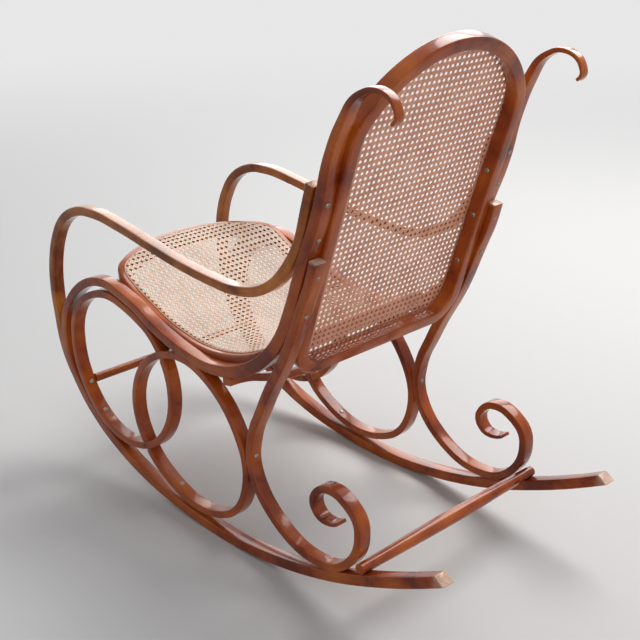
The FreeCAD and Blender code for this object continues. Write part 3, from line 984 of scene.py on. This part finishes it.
def add_dome(verts, faces, base, axis, radius, side, other, turn):
    """The round head of a screw, closed at its top and its base."""
    first = len(verts)
    for scale, height in DOME:
        for k in range(HEAD_SIDES):
            angle = 2 * math.pi * k / HEAD_SIDES + turn
            spoke = side * math.cos(angle) + other * math.sin(angle)
            verts.append((base + spoke * radius * HEAD_SPREAD * scale
                          + axis * radius * height) / MM)
    for i in range(len(DOME) - 1):
        a, b = first + HEAD_SIDES * i, first + HEAD_SIDES * (i + 1)
        for k in range(HEAD_SIDES):
            n = (k + 1) % HEAD_SIDES
            faces.append((a + k, a + n, b + n, b + k))
    for ring in (0, len(DOME) - 1):
        faces.append(tuple(first + HEAD_SIDES * ring + k for k in range(HEAD_SIDES)))


def add_slot(verts, faces, base, axis, radius, run):
    """The slot: a closed bar that lies in the dome's surface along run, coloured near black as
    painted shade.
    """
    wide = np.cross(axis, run)
    first = len(verts)
    corners = ((-SLOT_HALF_WIDTH, 0.0), (SLOT_HALF_WIDTH, 0.0),
               (SLOT_HALF_WIDTH, -SLOT_DEPTH), (-SLOT_HALF_WIDTH, -SLOT_DEPTH))
    for along, height in SLOT_LINE:
        for edge, sink in corners:
            verts.append((base + (run * along * HEAD_SPREAD + wide * edge
                                  + axis * (height + sink)) * radius) / MM)
    for k in range(len(SLOT_LINE) - 1):
        a, b = first + 4 * k, first + 4 * k + 4
        for n in range(4):
            m = (n + 1) % 4
            faces.append((a + n, b + n, b + m, a + m))
    for end in (first, first + 4 * (len(SLOT_LINE) - 1)):
        faces.append(tuple(end + n for n in range(4)))


def screw_piece(name, node):
    """Slotted screw heads in the places of a CAD node's heads."""
    verts, faces, shades = [], [], []
    for number, (base, axis, radius) in enumerate(heads_of(node)):
        side = np.cross(axis, ANY_SIDE)
        side = side / np.linalg.norm(side)
        other = np.cross(axis, side)
        turn = FIRST_TURN + NEXT_TURN * number
        add_dome(verts, faces, base, axis, radius, side, other, turn)
        shades += [STEEL_INDEX] * (len(faces) - len(shades))
        run = side * math.cos(turn) + other * math.sin(turn)
        add_slot(verts, faces, base, axis, radius, run)
        shades += [SLOT_INDEX] * (len(faces) - len(shades))
    piece = new_piece(name, verts, faces, None, steel, [node])
    piece.data.materials.append(slot_painted_shade)
    piece.data.polygons.foreach_set("material_index", shades)


for node in ("left_frame_screws", "right_frame_screws", "back_frame_screws"):
    screw_piece(node + "_heads", node)


# Floor and world, in metres. Camera and glossy rays see the pale background, and all
# other rays the lit sky, so the background puts no more light on the chair.
FLOOR_HALF = 40
FLOOR_COLOUR = (0.53, 0.53, 0.525, 1.0)
FLOOR_FADE = (1.6, 5.5)
BACKGROUND = (0.80, 0.80, 0.80, 1.0)
SKY_STRENGTH = 0.52
SKY_COLOURS = [(0.0, (0.30, 0.29, 0.28)), (0.10, (0.62, 0.62, 0.62)),
               (0.45, (0.80, 0.82, 0.85)), (1.0, (0.90, 0.93, 1.0))]


def seen(tree):
    """1 for camera and glossy rays, else 0."""
    path = tree.nodes.new("ShaderNodeLightPath")
    return maths(tree, "MAXIMUM", path.outputs["Is Camera Ray"], path.outputs["Is Glossy Ray"])


def pale_floor():
    """A plain floor that fades into the background far from the chair."""
    material, tree, shader = node_material("pale_floor")
    fill(tree, shader, {"Base Color": FLOOR_COLOUR, "Roughness": 0.9})
    reach = add(tree, "ShaderNodeVectorMath", {0: object_place(tree)})
    reach.operation = "LENGTH"
    fade = add(tree, "ShaderNodeMapRange", {
        "Value": reach.outputs["Value"], "From Min": FLOOR_FADE[0], "From Max": FLOOR_FADE[1]})
    fade.interpolation_type = "SMOOTHSTEP"
    share = maths(tree, "MULTIPLY", fade.outputs[0], seen(tree))
    pale = add(tree, "ShaderNodeEmission", {"Color": BACKGROUND})
    surface = mix_shaders(tree, share, shader.outputs[0], pale.outputs[0])
    fill(tree, tree.nodes["Material Output"], {"Surface": surface})
    return material


def soft_sky():
    """A sky that is brighter overhead, behind a plain background."""
    world = bpy.data.worlds.new("soft_sky")
    world.use_nodes = True
    tree = world.node_tree
    place = tree.nodes.new("ShaderNodeTexCoord")
    parts = add(tree, "ShaderNodeSeparateXYZ", {0: place.outputs["Generated"]})
    lit = tree.nodes["Background"]
    fill(tree, lit, {"Color": ramp(tree, parts.outputs["Z"], SKY_COLOURS),
                     "Strength": SKY_STRENGTH})
    pale = add(tree, "ShaderNodeBackground", {"Color": BACKGROUND})
    surface = mix_shaders(tree, seen(tree), lit.outputs[0], pale.outputs[0])
    fill(tree, tree.nodes["World Output"], {"Surface": surface})
    return world


floor_mesh = bpy.data.meshes.new("floor")
floor_mesh.from_pydata(
    [(-FLOOR_HALF, -FLOOR_HALF, 0), (FLOOR_HALF, -FLOOR_HALF, 0),
     (FLOOR_HALF, FLOOR_HALF, 0), (-FLOOR_HALF, FLOOR_HALF, 0)], [], [(0, 1, 2, 3)])
floor = bpy.data.objects.new("floor", floor_mesh)
bpy.context.scene.collection.objects.link(floor)
floor_mesh.materials.append(pale_floor())
bpy.context.scene.world = soft_sky()

# Lamps: name, place, aim, size in metres, watts, colour
LAMPS = [
    ("key", (-2.5, 0.0, 3.5), (0, 0.2, 0.4), 2.7, 160, (1.0, 0.98, 0.96)),
    ("low_sky", (-4.4, -4.3, 3.4), (0, 0.2, 0.5), 4.6, 150, (1.0, 0.97, 0.97)),
    ("rear_fill", (1.6, 3.6, 1.5), (0, 0, 0.5), 2.4, 34, (1.0, 0.93, 0.86)),
]
for name, place, aim, size, power, colour in LAMPS:
    light = bpy.data.lights.new(name, "AREA")
    light.shape = "DISK"
    light.size = size
    light.energy = power
    light.color = colour
    lamp = bpy.data.objects.new(name, light)
    lamp.location = place
    lamp.rotation_euler = (Vector(aim) - Vector(place)).to_track_quat("-Z", "Y").to_euler()
    bpy.context.scene.collection.objects.link(lamp)

# Camera, at the photo's viewing angle
CAMERA_PLACE = (1.5793, 1.6581, 1.3825)
CAMERA_HEADING = math.radians(135.946)
CAMERA_PITCH = math.radians(22.857)
CAMERA_LENS = 67.5
camera_data = bpy.data.cameras.new("camera")
camera_data.sensor_width = 36.0
camera_data.lens = CAMERA_LENS
camera = bpy.data.objects.new("camera", camera_data)
bpy.context.scene.collection.objects.link(camera)
camera.location = CAMERA_PLACE
looking = Vector((-math.sin(CAMERA_HEADING) * math.cos(CAMERA_PITCH),
                  math.cos(CAMERA_HEADING) * math.cos(CAMERA_PITCH),
                  -math.sin(CAMERA_PITCH)))
camera.rotation_euler = looking.to_track_quat("-Z", "Y").to_euler()
bpy.context.scene.camera = camera
bpy.context.scene.view_settings.view_transform = "Standard"
